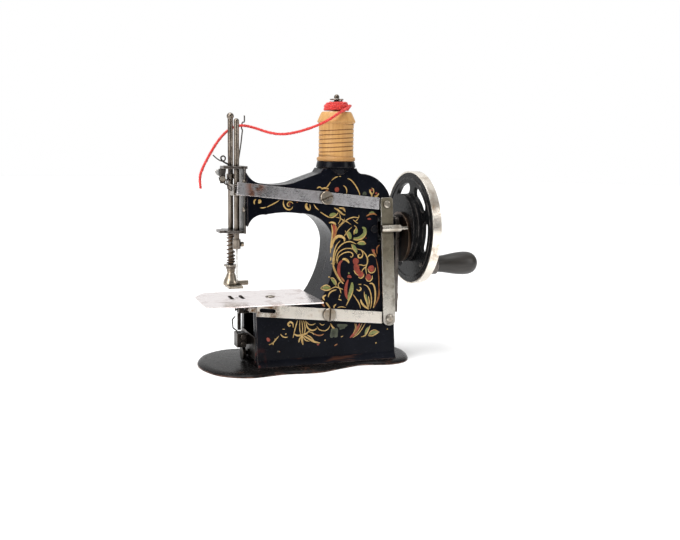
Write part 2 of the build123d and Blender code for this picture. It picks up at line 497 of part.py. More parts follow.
build_foot()
build_body()
build_spool()
build_yarn()
build_wheel()
build_end_bracket()
build_levers()
build_head()
build_needle_bar()
build_presser()
build_plate()
build_looper()
build_guides()

os.makedirs("parts", exist_ok=True)
for name, shape in parts.items():
    export_step(shape, f"parts/{name}.step")
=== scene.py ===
import random
from math import atan, cos, pi, radians, sin, tau

import bmesh
import bpy
from mathutils import Matrix, Vector
from mathutils.geometry import tessellate_polygon


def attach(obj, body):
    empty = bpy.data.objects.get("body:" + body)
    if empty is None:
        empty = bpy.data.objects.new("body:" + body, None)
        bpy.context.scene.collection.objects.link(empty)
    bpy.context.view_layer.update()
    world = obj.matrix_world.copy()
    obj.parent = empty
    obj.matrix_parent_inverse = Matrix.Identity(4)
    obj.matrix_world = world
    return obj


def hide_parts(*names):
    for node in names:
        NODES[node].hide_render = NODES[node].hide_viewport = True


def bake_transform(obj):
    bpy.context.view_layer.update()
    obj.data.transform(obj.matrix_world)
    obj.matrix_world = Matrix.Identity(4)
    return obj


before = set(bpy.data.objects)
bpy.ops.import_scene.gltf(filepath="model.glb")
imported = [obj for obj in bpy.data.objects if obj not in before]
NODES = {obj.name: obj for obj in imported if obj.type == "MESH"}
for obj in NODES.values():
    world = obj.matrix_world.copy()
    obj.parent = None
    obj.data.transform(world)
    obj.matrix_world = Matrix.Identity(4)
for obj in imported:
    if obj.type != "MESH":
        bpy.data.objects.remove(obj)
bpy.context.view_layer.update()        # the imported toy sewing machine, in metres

MM = 0.001
TAPER = 0.11                       # lean of the body's front face, run over rise
LEAN = atan(TAPER)
FOOT_HALF = 21.3
SCENE = bpy.context.scene
rng = random.Random(7)
COLOUR_A, COLOUR_B, COLOUR_OUT = 6, 7, 2     # the Mix node names its sockets alike, so these are numbers
FLOAT_A, FLOAT_B, FLOAT_OUT = 2, 3, 0


# ---- camera -------------------------------------------------------------------------------------
def make_camera():
    turn, pitch, roll = radians(20.45), radians(8.23), radians(0.83)
    place = Vector((-181.7, -494.7, 132.1))
    look = Vector((sin(turn) * cos(pitch), cos(turn) * cos(pitch), -sin(pitch)))
    level = Vector((cos(turn), -sin(turn), 0))
    over = level.cross(look)
    right = level * cos(roll) + over * sin(roll)
    up = right.cross(look)
    data = bpy.data.cameras.new("camera")
    data.lens = 45.0
    data.sensor_width = 36.0
    data.clip_start = 0.01
    camera = bpy.data.objects.new("camera", data)
    axes = Matrix((right, up, -look)).transposed().to_4x4()
    camera.matrix_world = Matrix.Translation(place * MM) @ axes
    SCENE.collection.objects.link(camera)
    SCENE.camera = camera


# ---- node helpers for materials -----------------------------------------------------------------
class Paint:
    """A material under construction: short calls that add nodes and join them."""

    def __init__(self, name):
        self.material = bpy.data.materials.new(name)
        self.material.use_nodes = True
        self.tree = self.material.node_tree
        self.shader = self.tree.nodes["Principled BSDF"]
        self.where = self.tree.nodes.new("ShaderNodeTexCoord").outputs["Object"]

    def set(self, **values):
        for key, value in values.items():
            self.shader.inputs[key.replace("_", " ")].default_value = value
        return self

    def join(self, output, socket):
        self.tree.links.new(output, self.shader.inputs[socket])

    def stretched(self, x, y, z):
        node = self.tree.nodes.new("ShaderNodeMapping")
        node.inputs["Scale"].default_value = (x, y, z)
        self.tree.links.new(self.where, node.inputs["Vector"])
        return node.outputs["Vector"]

    def noise(self, scale, detail=4.0, rough=0.55, vector=None):
        node = self.tree.nodes.new("ShaderNodeTexNoise")
        node.inputs["Scale"].default_value = scale
        node.inputs["Detail"].default_value = detail
        node.inputs["Roughness"].default_value = rough
        self.tree.links.new(vector or self.where, node.inputs["Vector"])
        return node.outputs["Fac"]

    def cells(self, scale):
        """Distance to the nearest border of a net of cells."""
        node = self.tree.nodes.new("ShaderNodeTexVoronoi")
        node.feature = "DISTANCE_TO_EDGE"
        node.inputs["Scale"].default_value = scale
        self.tree.links.new(self.where, node.inputs["Vector"])
        return node.outputs["Distance"]

    def ramp(self, value, low, high, a=0.0, b=1.0):
        """value from low..high mapped to a..b, held outside."""
        node = self.tree.nodes.new("ShaderNodeMapRange")
        node.inputs["From Min"].default_value = low
        node.inputs["From Max"].default_value = high
        node.inputs["To Min"].default_value = a
        node.inputs["To Max"].default_value = b
        self.tree.links.new(value, node.inputs["Value"])
        return node.outputs["Result"]

    def math(self, how, a, b):
        node = self.tree.nodes.new("ShaderNodeMath")
        node.operation = how
        for socket, value in zip(node.inputs, (a, b)):
            if isinstance(value, (int, float)):
                socket.default_value = value
            else:
                self.tree.links.new(value, socket)
        return node.outputs["Value"]

    def mix(self, factor, a, b):
        """Colour a where factor is 0, b where it is 1; each is a colour or an output."""
        node = self.tree.nodes.new("ShaderNodeMix")
        node.data_type = "RGBA"
        self.tree.links.new(factor, node.inputs["Factor"])
        for socket, value in ((node.inputs[COLOUR_A], a), (node.inputs[COLOUR_B], b)):
            if isinstance(value, tuple):
                socket.default_value = (*value, 1.0)
            else:
                self.tree.links.new(value, socket)
        return node.outputs[COLOUR_OUT]

    def axis(self, name):
        node = self.tree.nodes.new("ShaderNodeSeparateXYZ")
        self.tree.links.new(self.where, node.inputs["Vector"])
        return node.outputs[name]

    def edges(self, radius, low=0.02, high=0.25):
        """1 along the sharp edges of a part, 0 on its flats."""
        bevel = self.tree.nodes.new("ShaderNodeBevel")
        bevel.samples = 4
        bevel.inputs["Radius"].default_value = radius
        geometry = self.tree.nodes.new("ShaderNodeNewGeometry")
        dot = self.tree.nodes.new("ShaderNodeVectorMath")
        dot.operation = "DOT_PRODUCT"
        self.tree.links.new(bevel.outputs["Normal"], dot.inputs[0])
        self.tree.links.new(geometry.outputs["Normal"], dot.inputs[1])
        return self.ramp(self.math("SUBTRACT", 1.0, dot.outputs["Value"]), low, high)

    def crevice_shade(self, distance=0.0024, low=0.40, high=0.90):
        """Painted shade mask: 1 in slots, seams and corners, 0 on open surfaces."""
        node = self.tree.nodes.new("ShaderNodeAmbientOcclusion")
        node.samples = 8
        node.inputs["Distance"].default_value = distance
        return self.ramp(node.outputs["AO"], low, high, 1.0, 0.0)

    def finish(self, height=None, strength=0.3, distance=0.0002, round_edges=0.0):
        """Joins bump and softened edges to the shader's normal."""
        normal = None
        if round_edges:
            bevel = self.tree.nodes.new("ShaderNodeBevel")
            bevel.samples = 4
            bevel.inputs["Radius"].default_value = round_edges
            normal = bevel.outputs["Normal"]
        if height is not None:
            bump = self.tree.nodes.new("ShaderNodeBump")
            bump.inputs["Strength"].default_value = strength
            bump.inputs["Distance"].default_value = distance
            self.tree.links.new(height, bump.inputs["Height"])
            if normal:
                self.tree.links.new(normal, bump.inputs["Normal"])
            normal = bump.outputs["Normal"]
        if normal:
            self.join(normal, "Normal")
        return self.material


def enamel(name, base, worn, wear=0.5, rough=0.2, crackle=1.0, stain=None):
    """Old stove enamel: crackled gloss, dusty patches, painted glint flecks and edges rubbed to metal."""
    p = Paint(name).set(IOR=1.4, Specular_IOR_Level=0.13)
    patch = p.noise(55, 6, 0.65)
    fine = p.noise(420, 4, 0.6)
    crack = p.ramp(p.cells(640), 0.0, 0.10)
    colour = p.mix(p.ramp(patch, 0.35, 0.75), base, tuple(c * 2.2 + 0.0012 for c in base))
    # painted glints: fine light flecks scattered over the enamel
    glint_specks = p.ramp(p.noise(900, 2, 0.5), 0.68, 0.78)
    colour = p.mix(p.math("MULTIPLY", glint_specks, 0.8), colour, tuple(c * 6 + 0.018 for c in base))
    if stain:
        colour = stain(p, colour)
    rubbed = p.math("MULTIPLY", p.edges(0.0007), p.ramp(p.noise(160, 5, 0.7), 0.62 - 0.4 * wear, 0.66))
    colour = p.mix(rubbed, colour, worn)
    p.join(colour, "Base Color")
    p.join(p.ramp(fine, 0.3, 0.75, rough, rough + 0.16), "Roughness")
    height = p.math("ADD", p.math("MULTIPLY", crack, 0.35 * crackle), p.math("MULTIPLY", fine, 0.6))
    return p.finish(height, 0.22, 0.00012, round_edges=0.0009)


def plated(name, base, dark, rough=0.22, streak=(1, 1, 1), tarnish=0.5, edge=(0.86, 0.82, 0.76),
           warm=None, low=None):
    """Worn nickel or steel: cloudy tarnish, fine scratches along the piece, edges in the edge colour (rubbed metal
    where it is light, a painted shade ring where it is dark) and painted shade in slots and seams.

    warm is (from x, to x, colour) of a discoloured stretch, low (from z, to z, colour) of a lower end, in metres.
    """
    p = Paint(name).set(Metallic=1.0)
    cloud = p.noise(110, 6, 0.62)
    spots = p.noise(430, 5, 0.6)
    lines = p.noise(260, 3, 0.5, p.stretched(*streak))
    if low:
        base = p.mix(p.ramp(p.axis("Z"), low[0], low[1], 1.0, 0.0), base, low[2])
    colour = p.mix(p.ramp(cloud, 0.62 - 0.35 * tarnish, 0.72), base, dark)
    colour = p.mix(p.ramp(lines, 0.52, 0.75, 0.0, 0.55), colour, dark)
    spotted = p.math("MULTIPLY", p.ramp(spots, 0.60, 0.70), 0.5 * tarnish)
    colour = p.mix(spotted, colour, tuple(c * 0.45 for c in dark))
    if warm:
        fade = 0.004
        place = p.ramp(p.axis("X"), warm[0] - fade, warm[0])
        place = p.math("MULTIPLY", place, p.ramp(p.axis("X"), warm[1], warm[1] + fade, 1.0, 0.0))
        place = p.math("MULTIPLY", place, p.ramp(p.noise(160, 3, 0.6), 0.38, 0.6))
        colour = p.mix(place, colour, warm[2])
    # edges: rubbed metal when edge is light; a painted shade ring when edge is dark, as on rivets and screws
    colour = p.mix(p.edges(0.00045), colour, edge)
    # painted shade: slots, seams and corners darkened towards the dark colour
    colour = p.mix(p.crevice_shade(), colour, tuple(c * 0.12 for c in dark))
    p.join(colour, "Base Color")
    p.join(p.ramp(p.math("ADD", p.math("MULTIPLY", cloud, 0.6), p.math("MULTIPLY", lines, 0.4)), 0.3, 0.7,
                  rough, rough + 0.22), "Roughness")
    height = p.math("ADD", lines, p.math("MULTIPLY", spots, 0.7))
    return p.finish(height, 0.12, 0.0001, round_edges=0.00035)


def turned_wood(name, light, dark, rough, along, groove=None):
    """Turned wood: grain lines along one axis, pores and a rubbed finish."""
    p = Paint(name).set(IOR=1.45)
    stretch = [1.0, 1.0, 1.0]
    stretch[along] = 0.07
    grain = p.noise(900, 5, 0.6, p.stretched(*stretch))
    broad = p.noise(150, 4, 0.5, p.stretched(*stretch))
    tone = p.math("ADD", p.math("MULTIPLY", grain, 0.45), p.math("MULTIPLY", broad, 0.55))
    colour = p.mix(p.ramp(tone, 0.36, 0.66), light, dark)
    if groove:
        colour = groove(p, colour)
    p.join(colour, "Base Color")
    p.join(p.ramp(grain, 0.3, 0.7, rough, rough + 0.15), "Roughness")
    return p.finish(grain, 0.25, 0.00012)


# ---- meshes -------------------------------------------------------------------------------------
def mesh_object(name, verts, faces, material, body="root", smooth=True):
    """verts in mm; returns an object that rides on body."""
    mesh = bpy.data.meshes.new(name)
    mesh.from_pydata([tuple(c * MM for c in v) for v in verts], [], faces)
    mesh.validate()
    mesh.materials.append(material)
    for poly in mesh.polygons:
        poly.use_smooth = smooth
    piece = bpy.data.objects.new(name, mesh)
    SCENE.collection.objects.link(piece)
    bm = bmesh.new()
    bm.from_mesh(mesh)
    bmesh.ops.recalc_face_normals(bm, faces=bm.faces)
    bm.to_mesh(mesh)
    bm.free()
    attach(piece, body)
    return piece


def ring_frames(points):
    """A point, a side and an up vector along a path, turned as little as possible."""
    frames = []
    side = None
    for i, here in enumerate(points):
        ahead = (points[min(i + 1, len(points) - 1)] - points[max(i - 1, 0)]).normalized()
        if side is None:
            side = ahead.orthogonal().normalized()
        side = (side - ahead * side.dot(ahead)).normalized()
        frames.append((here, side, ahead.cross(side)))
    return frames


def tube_mesh(points, radius, around=10, start=0):
    """Closed tube along points (mm): verts and faces, with face numbers from start."""
    verts, faces = [], []
    total = len(points)
    for i, (here, side, over) in enumerate(ring_frames(points)):
        r = radius(i / (total - 1)) if callable(radius) else radius
        for k in range(around):
            a = tau * k / around
            verts.append(here + side * (r * cos(a)) + over * (r * sin(a)))
    for i in range(total - 1):
        for k in range(around):
            a, b = i * around + k, i * around + (k + 1) % around
            faces.append((start + a, start + b, start + b + around, start + a + around))
    faces.append(tuple(start + k for k in reversed(range(around))))
    faces.append(tuple(start + (total - 1) * around + k for k in range(around)))
    return verts, faces


def smooth_line(points, steps=8):
    """Catmull-Rom curve through points."""
    pts = [Vector(p) for p in points]
    pts = [pts[0] * 2 - pts[1]] + pts + [pts[-1] * 2 - pts[-2]]
    line = []
    for i in range(1, len(pts) - 2):
        a, b, c, d = pts[i - 1:i + 3]
        for s in range(steps):
            t = s / steps
            line.append(0.5 * (2 * b + (c - a) * t + (2 * a - 5 * b + 4 * c - d) * t * t
                               + (3 * b - a - 3 * c + d) * t ** 3))
    line.append(pts[-2])
    return line


def lathe(profile, centre, around):
    """Surface of revolution about Z from (radius, height) points, its last ring joined to its first."""
    verts, faces = [], []
    for r, h in profile:
        for k in range(around):
            a = tau * k / around
            verts.append(Vector((r * cos(a), r * sin(a), h)) + Vector(centre))
    rows = len(profile)
    for i in range(rows):
        for k in range(around):
            a, b = i * around + k, i * around + (k + 1) % around
            c, d = (i + 1) % rows * around + k, (i + 1) % rows * around + (k + 1) % around
            faces.append((a, b, d, c))
    return verts, faces


# ---- yarn ---------------------------------------------------------------------------------------
SPOOL_X = -1.0
YARN_STEP = 0.34                   # between points of the centre line
TWIST_PITCH = 3.1
HAIRS_PER_MM = 22
HAIR_ROOT = 0.62                   # how far from the yarn's middle a hair starts
HAIR_HALF = 0.07                   # half a hair's width
YARN_ROUTE = [
    (7.3, -3.0, 157.6), (2.8, -8.4, 155.3), (-3.6, -12.4, 152.3), (-11.2, -14.0, 147.6), (-19.0, -10.2, 143.6),
    (-27.2, -5.4, 140.6), (-35.4, -1.2, 138.9), (-43.4, 2.2, 140.0), (-50.6, 5.4, 142.7), (-57.6, 8.8, 144.4),
    (-63.8, 11.6, 142.6), (-69.4, 11.0, 137.9), (-74.2, 9.0, 132.0), (-78.4, 7.2, 125.6), (-82.2, 6.0, 119.0),
    (-84.6, 5.4, 112.6), (-83.7, 5.1, 106.8),
]


def winding_turns():
    """Layers of turns about the spool pin, from the pin outwards, a little uneven."""
    per_turn = 14
    layers = [(2.7, 154.4, 159.4), (4.4, 159.0, 154.3), (6.0, 154.3, 158.2), (7.1, 157.4, 154.6)]
    points = []
    step = 0
    for radius, low, high in layers:
        count = 3 * per_turn
        for i in range(count):
            a = tau * step / per_turn + 0.35
            r = radius + 0.28 * sin(step * 0.37) + 0.15 * sin(step * 1.3)
            z = low + (high - low) * i / (count - 1) + 0.35 * sin(a * 0.5 + radius)
            points.append((SPOOL_X + r * cos(a), r * sin(a), z))
            step += 1
    return points


def even_steps(points, gap):
    """The same line with a point every gap mm."""
    line, left = [points[0]], gap
    for a, b in zip(points, points[1:]):
        span = (b - a).length
        walked = 0.0
        while span - walked >= left:
            walked += left
            line.append(a.lerp(b, walked / span))
            left = gap
        left -= span - walked
    if (points[-1] - line[-1]).length < 0.5 * gap:
        line.pop()
    line.append(points[-1])
    return line


def make_yarn(wool, fuzz):
    turns = winding_turns()
    route = [Vector(p) for p in turns + YARN_ROUTE]
    data = bpy.data.curves.new("yarn_line", "CURVE")
    data.dimensions = "3D"
    spline = data.splines.new("NURBS")
    spline.points.add(len(route) - 1)
    for point, place in zip(spline.points, route):
        point.co = (*(place * MM), 1.0)
    spline.order_u = 3
    spline.use_endpoint_u = True
    spline.resolution_u = 24
    guide = bpy.data.objects.new("yarn_line", data)
    mesh = bpy.data.meshes.new_from_object(guide)
    centre = [v.co / MM for v in mesh.vertices]
    bpy.data.objects.remove(guide)
    bpy.data.meshes.remove(mesh)
    centre = even_steps(centre, YARN_STEP)
    length = sum((b - a).length for a, b in zip(centre, centre[1:]))
    verts, faces = [], []
    plies, ply_r, off = 3, 0.375, 0.425         # together as wide as YARN_D
    frames = ring_frames(centre)
    run = [0.0]
    for a, b in zip(centre, centre[1:]):
        run.append(run[-1] + (b - a).length)
    for n in range(plies):
        strand = []
        for (here, side, over), s in zip(frames, run):
            a = tau * s / TWIST_PITCH + tau * n / plies
            strand.append(here + side * (off * cos(a)) + over * (off * sin(a)))
        more, quads = tube_mesh(strand, ply_r, 8, len(verts))
        verts += more
        faces += quads
    yarn = mesh_object("red_yarn", verts, faces, wool, "root")
    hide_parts("yarn_strand", "yarn_winding")
    hair_verts, hair_faces = [], []
    for _ in range(int(length * HAIRS_PER_MM)):
        i = rng.randrange(1, len(frames) - 1)
        here, side, over = frames[i]
        a = rng.uniform(0, tau)
        out = side * cos(a) + over * sin(a)
        along = (frames[i + 1][0] - here).normalized() * rng.choice((-1, 1))
        root_point = here + out * HAIR_ROOT
        reach = rng.uniform(0.3, 1.0)
        mid = root_point + out * reach * 0.45 + along * reach * 0.7
        tip = mid + out * reach * rng.uniform(-0.25, 0.25) + along * reach * 0.9
        flat = along.cross(out) * HAIR_HALF
        k = len(hair_verts)
        hair_verts += [root_point - flat, root_point + flat, mid + flat, mid - flat, tip]
        hair_faces += [(k, k + 1, k + 2, k + 3), (k + 3, k + 2, k + 4)]
    hair = mesh_object("yarn_fuzz", hair_verts, hair_faces, fuzz, "root")


# ---- transfer decoration ------------------------------------------------------------------------
# Strokes lie on the front face: (half width, [(x, z) in mm, ...]); leaves are thick strokes.
CREAM = [
    (0.3, [(-2.6, 114.4), (-4.6, 113.7), (-7.0, 112.0)]),
    (0.32, [(-7.6, 111.2), (-8.8, 109.4), (-10.8, 107.2)]), (0.22, [(-1.9, 114.5), (-0.8, 114.5)]),
    (0.36, [(3.4, 113.2), (5.2, 112.6), (7.4, 110.6), (9.6, 107.4), (11.0, 104.4), (11.4, 102.8)]),
    (0.34, [(0.6, 109.1), (2.2, 107.8), (2.8, 106.0), (2.6, 104.0)]),
    (0.3, [(-18.6, 98.0), (-17.2, 95.8), (-15.4, 94.3)]),
    (0.34, [(-14.6, 93.3), (-12.6, 92.0), (-10.4, 90.6), (-8.4, 89.7)]),
    (0.28, [(-4.8, 90.0), (-2.2, 89.4), (0.2, 88.0), (2.6, 87.0), (5.2, 85.3)]),
    (0.26, [(-2.4, 92.2), (-1.8, 90.0), (-2.0, 88.0), (-3.4, 85.8)]),
    (0.3, [(-4.4, 81.6), (-2.6, 84.2), (0.4, 86.8), (3.6, 88.9), (7.0, 89.8), (10.0, 89.5), (10.4, 91.0)]),
    (0.22, [(-3.0, 85.0), (-0.6, 86.4), (2.4, 88.0)]), (0.24, [(6.4, 88.4), (8.0, 87.1), (9.6, 85.9)]),
    (0.2, [(10.0, 89.2), (9.0, 88.0), (7.8, 87.3)]), (0.2, [(1.2, 89.3), (0.2, 87.6), (-1.2, 86.6)]),
    (0.26, [(0.4, 78.3), (1.6, 80.0), (3.6, 82.2), (5.6, 83.8)]),
    (0.24, [(7.0, 84.9), (8.4, 83.7), (9.0, 82.4)]),
    (0.5, [(-8.7, 68.3), (-8.4, 72.0), (-7.8, 75.6), (-7.2, 79.0), (-7.1, 82.4), (-7.7, 85.8)]),
    (0.55, [(-9.3, 86.6), (-7.4, 86.9), (-5.4, 86.2), (-4.9, 85.0)]),
    (0.85, [(-7.9, 71.2), (-6.9, 74.8), (-5.6, 77.1), (-3.4, 78.4), (-1.0, 78.1), (0.5, 76.9), (0.4, 75.2)]),
    (0.4, [(-1.2, 49.6), (-4.6, 54.0), (-6.8, 59.0), (-7.1, 64.0), (-6.3, 69.0), (-4.8, 73.0), (-2.2, 75.8)]),
    (0.34, [(-6.4, 61.0), (-5.8, 67.0), (-3.8, 71.0), (-0.4, 74.0), (3.6, 75.1), (6.2, 74.4), (8.2, 73.5)]),
    (0.32, [(-5.4, 62.4), (-3.8, 68.0), (0.0, 70.6), (4.0, 70.9), (6.4, 70.2)]),
    (0.34, [(8.2, 70.6), (11.6, 69.6), (14.2, 67.0), (15.3, 64.0), (15.2, 61.6),
            (14.4, 59.8), (14.2, 57.6), (14.6, 54.6)]),
    (0.32, [(-4.6, 61.8), (-3.6, 65.8), (-0.4, 68.1), (3.0, 68.8),
            (5.2, 68.1), (5.8, 66.7), (4.8, 65.5), (3.9, 66.3)]),
    (0.6, [(-7.0, 61.0), (-5.6, 56.6), (-3.4, 52.6), (-0.8, 49.6)]),
    (0.42, [(11.4, 69.6), (12.4, 67.4), (11.4, 65.2), (9.6, 65.2), (9.3, 66.7), (10.7, 67.1)]),
    (0.3, [(14.8, 60.8), (12.8, 60.2), (11.0, 60.7), (9.4, 60.7)]),
    (0.28, [(14.4, 59.4), (12.6, 58.2), (11.2, 56.4)]),
    (0.36, [(15.5, 65.2), (17.0, 66.5), (19.0, 66.6), (20.6, 65.1)]),
    (0.26, [(15.2, 61.4), (15.6, 63.4), (15.4, 65.2)]),
    (0.75, [(-1.2, 64.3), (0.6, 64.5), (2.2, 63.6), (3.2, 62.0)]),
    (0.3, [(6.2, 57.8), (7.2, 55.8), (9.0, 54.2)]),
    (0.32, [(9.0, 53.3), (10.6, 52.5), (12.3, 53.4), (12.9, 55.0)]),
    (0.34, [(15.5, 58.2), (16.2, 56.3), (18.0, 55.5), (20.0, 56.5), (20.6, 58.6)]),
    (0.34, [(13.8, 52.4), (15.0, 50.8), (16.8, 50.6), (18.2, 52.0), (18.3, 54.0)]),
    (0.5, [(16.3, 49.0), (18.2, 49.0), (19.6, 46.8), (20.1, 42.6), (19.7, 38.0), (18.5, 33.8)]),
    (0.34, [(12.4, 48.7), (15.0, 47.3), (16.8, 44.0), (17.4, 40.0), (17.2, 36.0), (16.4, 33.4)]),
    (0.3, [(9.0, 48.8), (11.0, 48.8)]), (0.42, [(9.8, 47.2), (10.7, 46.0), (9.4, 44.9), (7.6, 45.9)]),
    (0.62, [(10.2, 39.6), (11.0, 37.3), (13.0, 35.0), (15.6, 33.3)]),
    (0.34, [(5.4, 42.8), (7.4, 40.0), (9.2, 37.0), (10.1, 34.0)]), (0.3, [(-8.4, 66.2), (-8.7, 63.8)]),
    (0.3, [(-8.2, 62.4), (-8.1, 61.8)]), (0.5, [(-10.4, 54.2), (-9.6, 54.0)]),
    (0.34, [(-8.6, 47.1), (-6.0, 47.9), (-3.6, 47.2), (-1.0, 46.1)]),
    (0.28, [(-3.6, 47.4), (-4.2, 49.4), (-2.6, 51.0)]),
    (0.42, [(-5.4, 46.2), (-8.0, 45.6), (-10.0, 44.2), (-10.9, 42.0)]),
    (0.28, [(-3.4, 47.2), (-2.8, 45.2), (-2.5, 43.9)]), (0.26, [(-3.2, 43.0), (-3.8, 41.2)]),
    (0.3, [(-4.5, 40.5), (-2.2, 39.6)]), (0.55, [(-12.2, 43.4), (-14.1, 42.0), (-13.3, 40.2)]),
    (0.5, [(-12.4, 38.8), (-11.0, 37.0), (-9.6, 35.0)]), (0.4, [(-5.8, 37.4), (-7.2, 36.3), (-7.2, 34.8)]),
    (0.24, [(-5.0, 35.4), (-2.4, 35.7), (0.4, 35.1)]),
    (0.34, [(5.4, 45.4), (4.0, 42.0), (2.0, 38.6), (0.6, 36.2)]),
    (0.3, [(-48.8, 15.6), (-46.6, 16.4), (-44.6, 18.2), (-42.5, 20.5)]), (0.24, [(-46.2, 15.3), (-46.0, 17.2)]),
    (0.24, [(-45.4, 18.8), (-43.8, 18.6)]),
    (0.36, [(-41.5, 21.5), (-40.4, 20.2), (-38.8, 19.4), (-36.9, 19.5)]),
    (0.55, [(-38.5, 21.6), (-37.9, 21.1)]), (0.2, [(-40.3, 24.4), (-38.7, 24.2)]),
    (0.55, [(-33.5, 25.0), (-33.7, 27.3), (-35.2, 28.3), (-36.6, 27.2), (-35.9, 25.9), (-35.0, 26.4)]),
    (0.32, [(-30.6, 29.2), (-32.2, 24.4), (-33.8, 18.6)]),
    (0.28, [(-29.2, 29.2), (-29.4, 24.0), (-28.9, 20.3)]),
    (0.28, [(-28.0, 29.0), (-27.6, 24.0), (-28.1, 20.3)]), (0.3, [(-26.8, 28.8), (-26.0, 23.6), (-27.0, 20.3)]),
    (0.45, [(-25.6, 28.6), (-24.6, 24.6), (-22.0, 22.6), (-19.5, 22.9), (-18.8, 23.8)]),
    (0.6, [(-33.2, 21.2), (-31.0, 20.0), (-28.0, 20.1), (-25.4, 20.9), (-23.2, 22.6)]),
    (0.45, [(-28.2, 19.8), (-29.6, 17.8), (-30.3, 15.8)]), (0.6, [(-28.0, 19.6), (-28.1, 16.8), (-27.6, 14.2)]),
    (0.34, [(-27.8, 19.6), (-26.0, 17.0), (-23.4, 16.0)]),
    (0.62, [(-27.0, 19.6), (-24.0, 17.7), (-20.6, 15.7), (-16.8, 14.6)]),
    (0.36, [(-25.0, 20.0), (-22.4, 18.3), (-20.6, 16.2)]),
    (0.24, [(-24.0, 22.0), (-21.6, 21.0), (-20.4, 19.8)]),
    (0.3, [(-18.6, 24.8), (-17.0, 22.7), (-14.0, 21.8), (-11.6, 22.6), (-10.0, 24.8)]),
    (0.28, [(-19.4, 26.6), (-21.4, 25.8), (-23.8, 26.4), (-25.0, 27.8)]),
    (0.28, [(-16.8, 26.6), (-15.2, 25.3), (-13.6, 25.8)]), (0.45, [(-9.8, 26.0), (-8.4, 23.6), (-7.2, 23.0)]),
    (0.5, [(-13.8, 16.3), (-13.3, 15.9)]), (0.4, [(27.5, 20.6), (28.0, 20.2)]),
    (0.5, [(19.5, 12.5), (20.1, 12.0)]), (0.22, [(-3.4, 17.3), (-1.7, 17.9)]),
    (0.3, [(13.0, 24.8), (10.4, 21.0), (7.6, 18.2), (4.4, 16.4)]),
    (0.22, [(11.0, 25.0), (8.4, 20.6), (5.6, 17.6)]), (0.24, [(6.1, 25.2), (6.3, 22.0), (4.8, 18.8)]),
    (0.34, [(16.2, 23.4), (14.9, 20.4), (12.8, 17.4), (10.0, 16.6)]),
    (0.45, [(-55.2, 98.2), (-55.3, 100.1), (-54.0, 101.2)]),
    (0.95, [(-52.6, 100.9), (-51.9, 99.9), (-52.8, 98.8)]),
    (0.3, [(-51.8, 96.1), (-50.0, 96.1), (-48.2, 96.5)]),
    (0.34, [(-47.7, 96.5), (-45.0, 97.8), (-42.4, 99.0), (-40.0, 100.4)]),
    (0.4, [(-37.4, 100.6), (-37.6, 98.4), (-36.8, 96.2), (-34.8, 94.9), (-32.8, 95.2), (-31.7, 96.6)]),
    (0.32, [(-31.6, 98.2), (-32.4, 99.2), (-34.0, 99.4), (-35.2, 98.1), (-34.6, 96.9), (-33.4, 97.1)]),
    (0.8, [(-22.8, 98.5), (-23.5, 97.0), (-22.8, 95.4), (-21.4, 94.3)]),
    (0.3, [(-21.2, 97.8), (-20.8, 96.2), (-21.2, 94.6)]),
    (0.4, [(-16.4, 107.3), (-14.8, 108.1), (-13.0, 107.4)]),
    (0.5, [(-13.6, 106.9), (-11.4, 107.5), (-8.8, 107.0)]),
    (0.55, [(-5.6, 95.5), (-3.6, 94.5), (-1.8, 93.1), (0.8, 91.0)]),
    (0.5, [(-2.6, 95.6), (0.2, 95.0), (1.6, 93.0)]), (0.4, [(-2.0, 92.6), (0.0, 91.6), (1.5, 91.2)]),
    (0.36, [(-9.0, 90.1), (-7.0, 89.9), (-4.6, 91.0), (-3.0, 92.8)]),
    (0.5, [(20.8, 102.5), (22.4, 102.4), (24.0, 104.2)]),
    (0.55, [(18.9, 101.4), (19.2, 103.4), (18.2, 105.0), (18.0, 106.6)]),
    (0.3, [(19.2, 103.4), (20.4, 104.8), (20.4, 106.6), (19.2, 107.6)]),
    (0.4, [(6.2, 76.3), (9.4, 75.9), (12.6, 76.9), (15.1, 79.6)]),
    (0.28, [(1.0, 81.9), (2.3, 79.4), (3.8, 76.2)]), (0.26, [(6.9, 79.2), (7.0, 81.2), (8.2, 83.2)]),
    (0.3, [(8.8, 73.7), (10.8, 75.0), (13.2, 74.8), (14.6, 73.2)]),
    (0.26, [(5.0, 73.6), (6.0, 70.6), (8.6, 67.4)]),
    (0.3, [(-9.4, 53.4), (-7.2, 53.2), (-5.6, 50.8), (-5.8, 48.4)]),
    (0.4, [(-15.7, 47.4), (-13.0, 46.3), (-10.4, 46.3), (-8.2, 47.2)]),
    (0.3, [(-15.6, 47.6), (-13.4, 48.9), (-11.2, 49.2), (-9.2, 47.8)]),
    (0.36, [(12.7, 44.2), (13.0, 41.0), (14.2, 37.6), (15.0, 34.0)]),
    (0.36, [(15.4, 41.4), (15.9, 38.0), (15.3, 34.2)]),
    (0.34, [(14.7, 17.0), (17.4, 16.8), (20.0, 17.8), (22.2, 18.9)]),
    (0.26, [(14.8, 17.2), (16.4, 19.5), (19.0, 20.3), (22.0, 19.0)]),
]
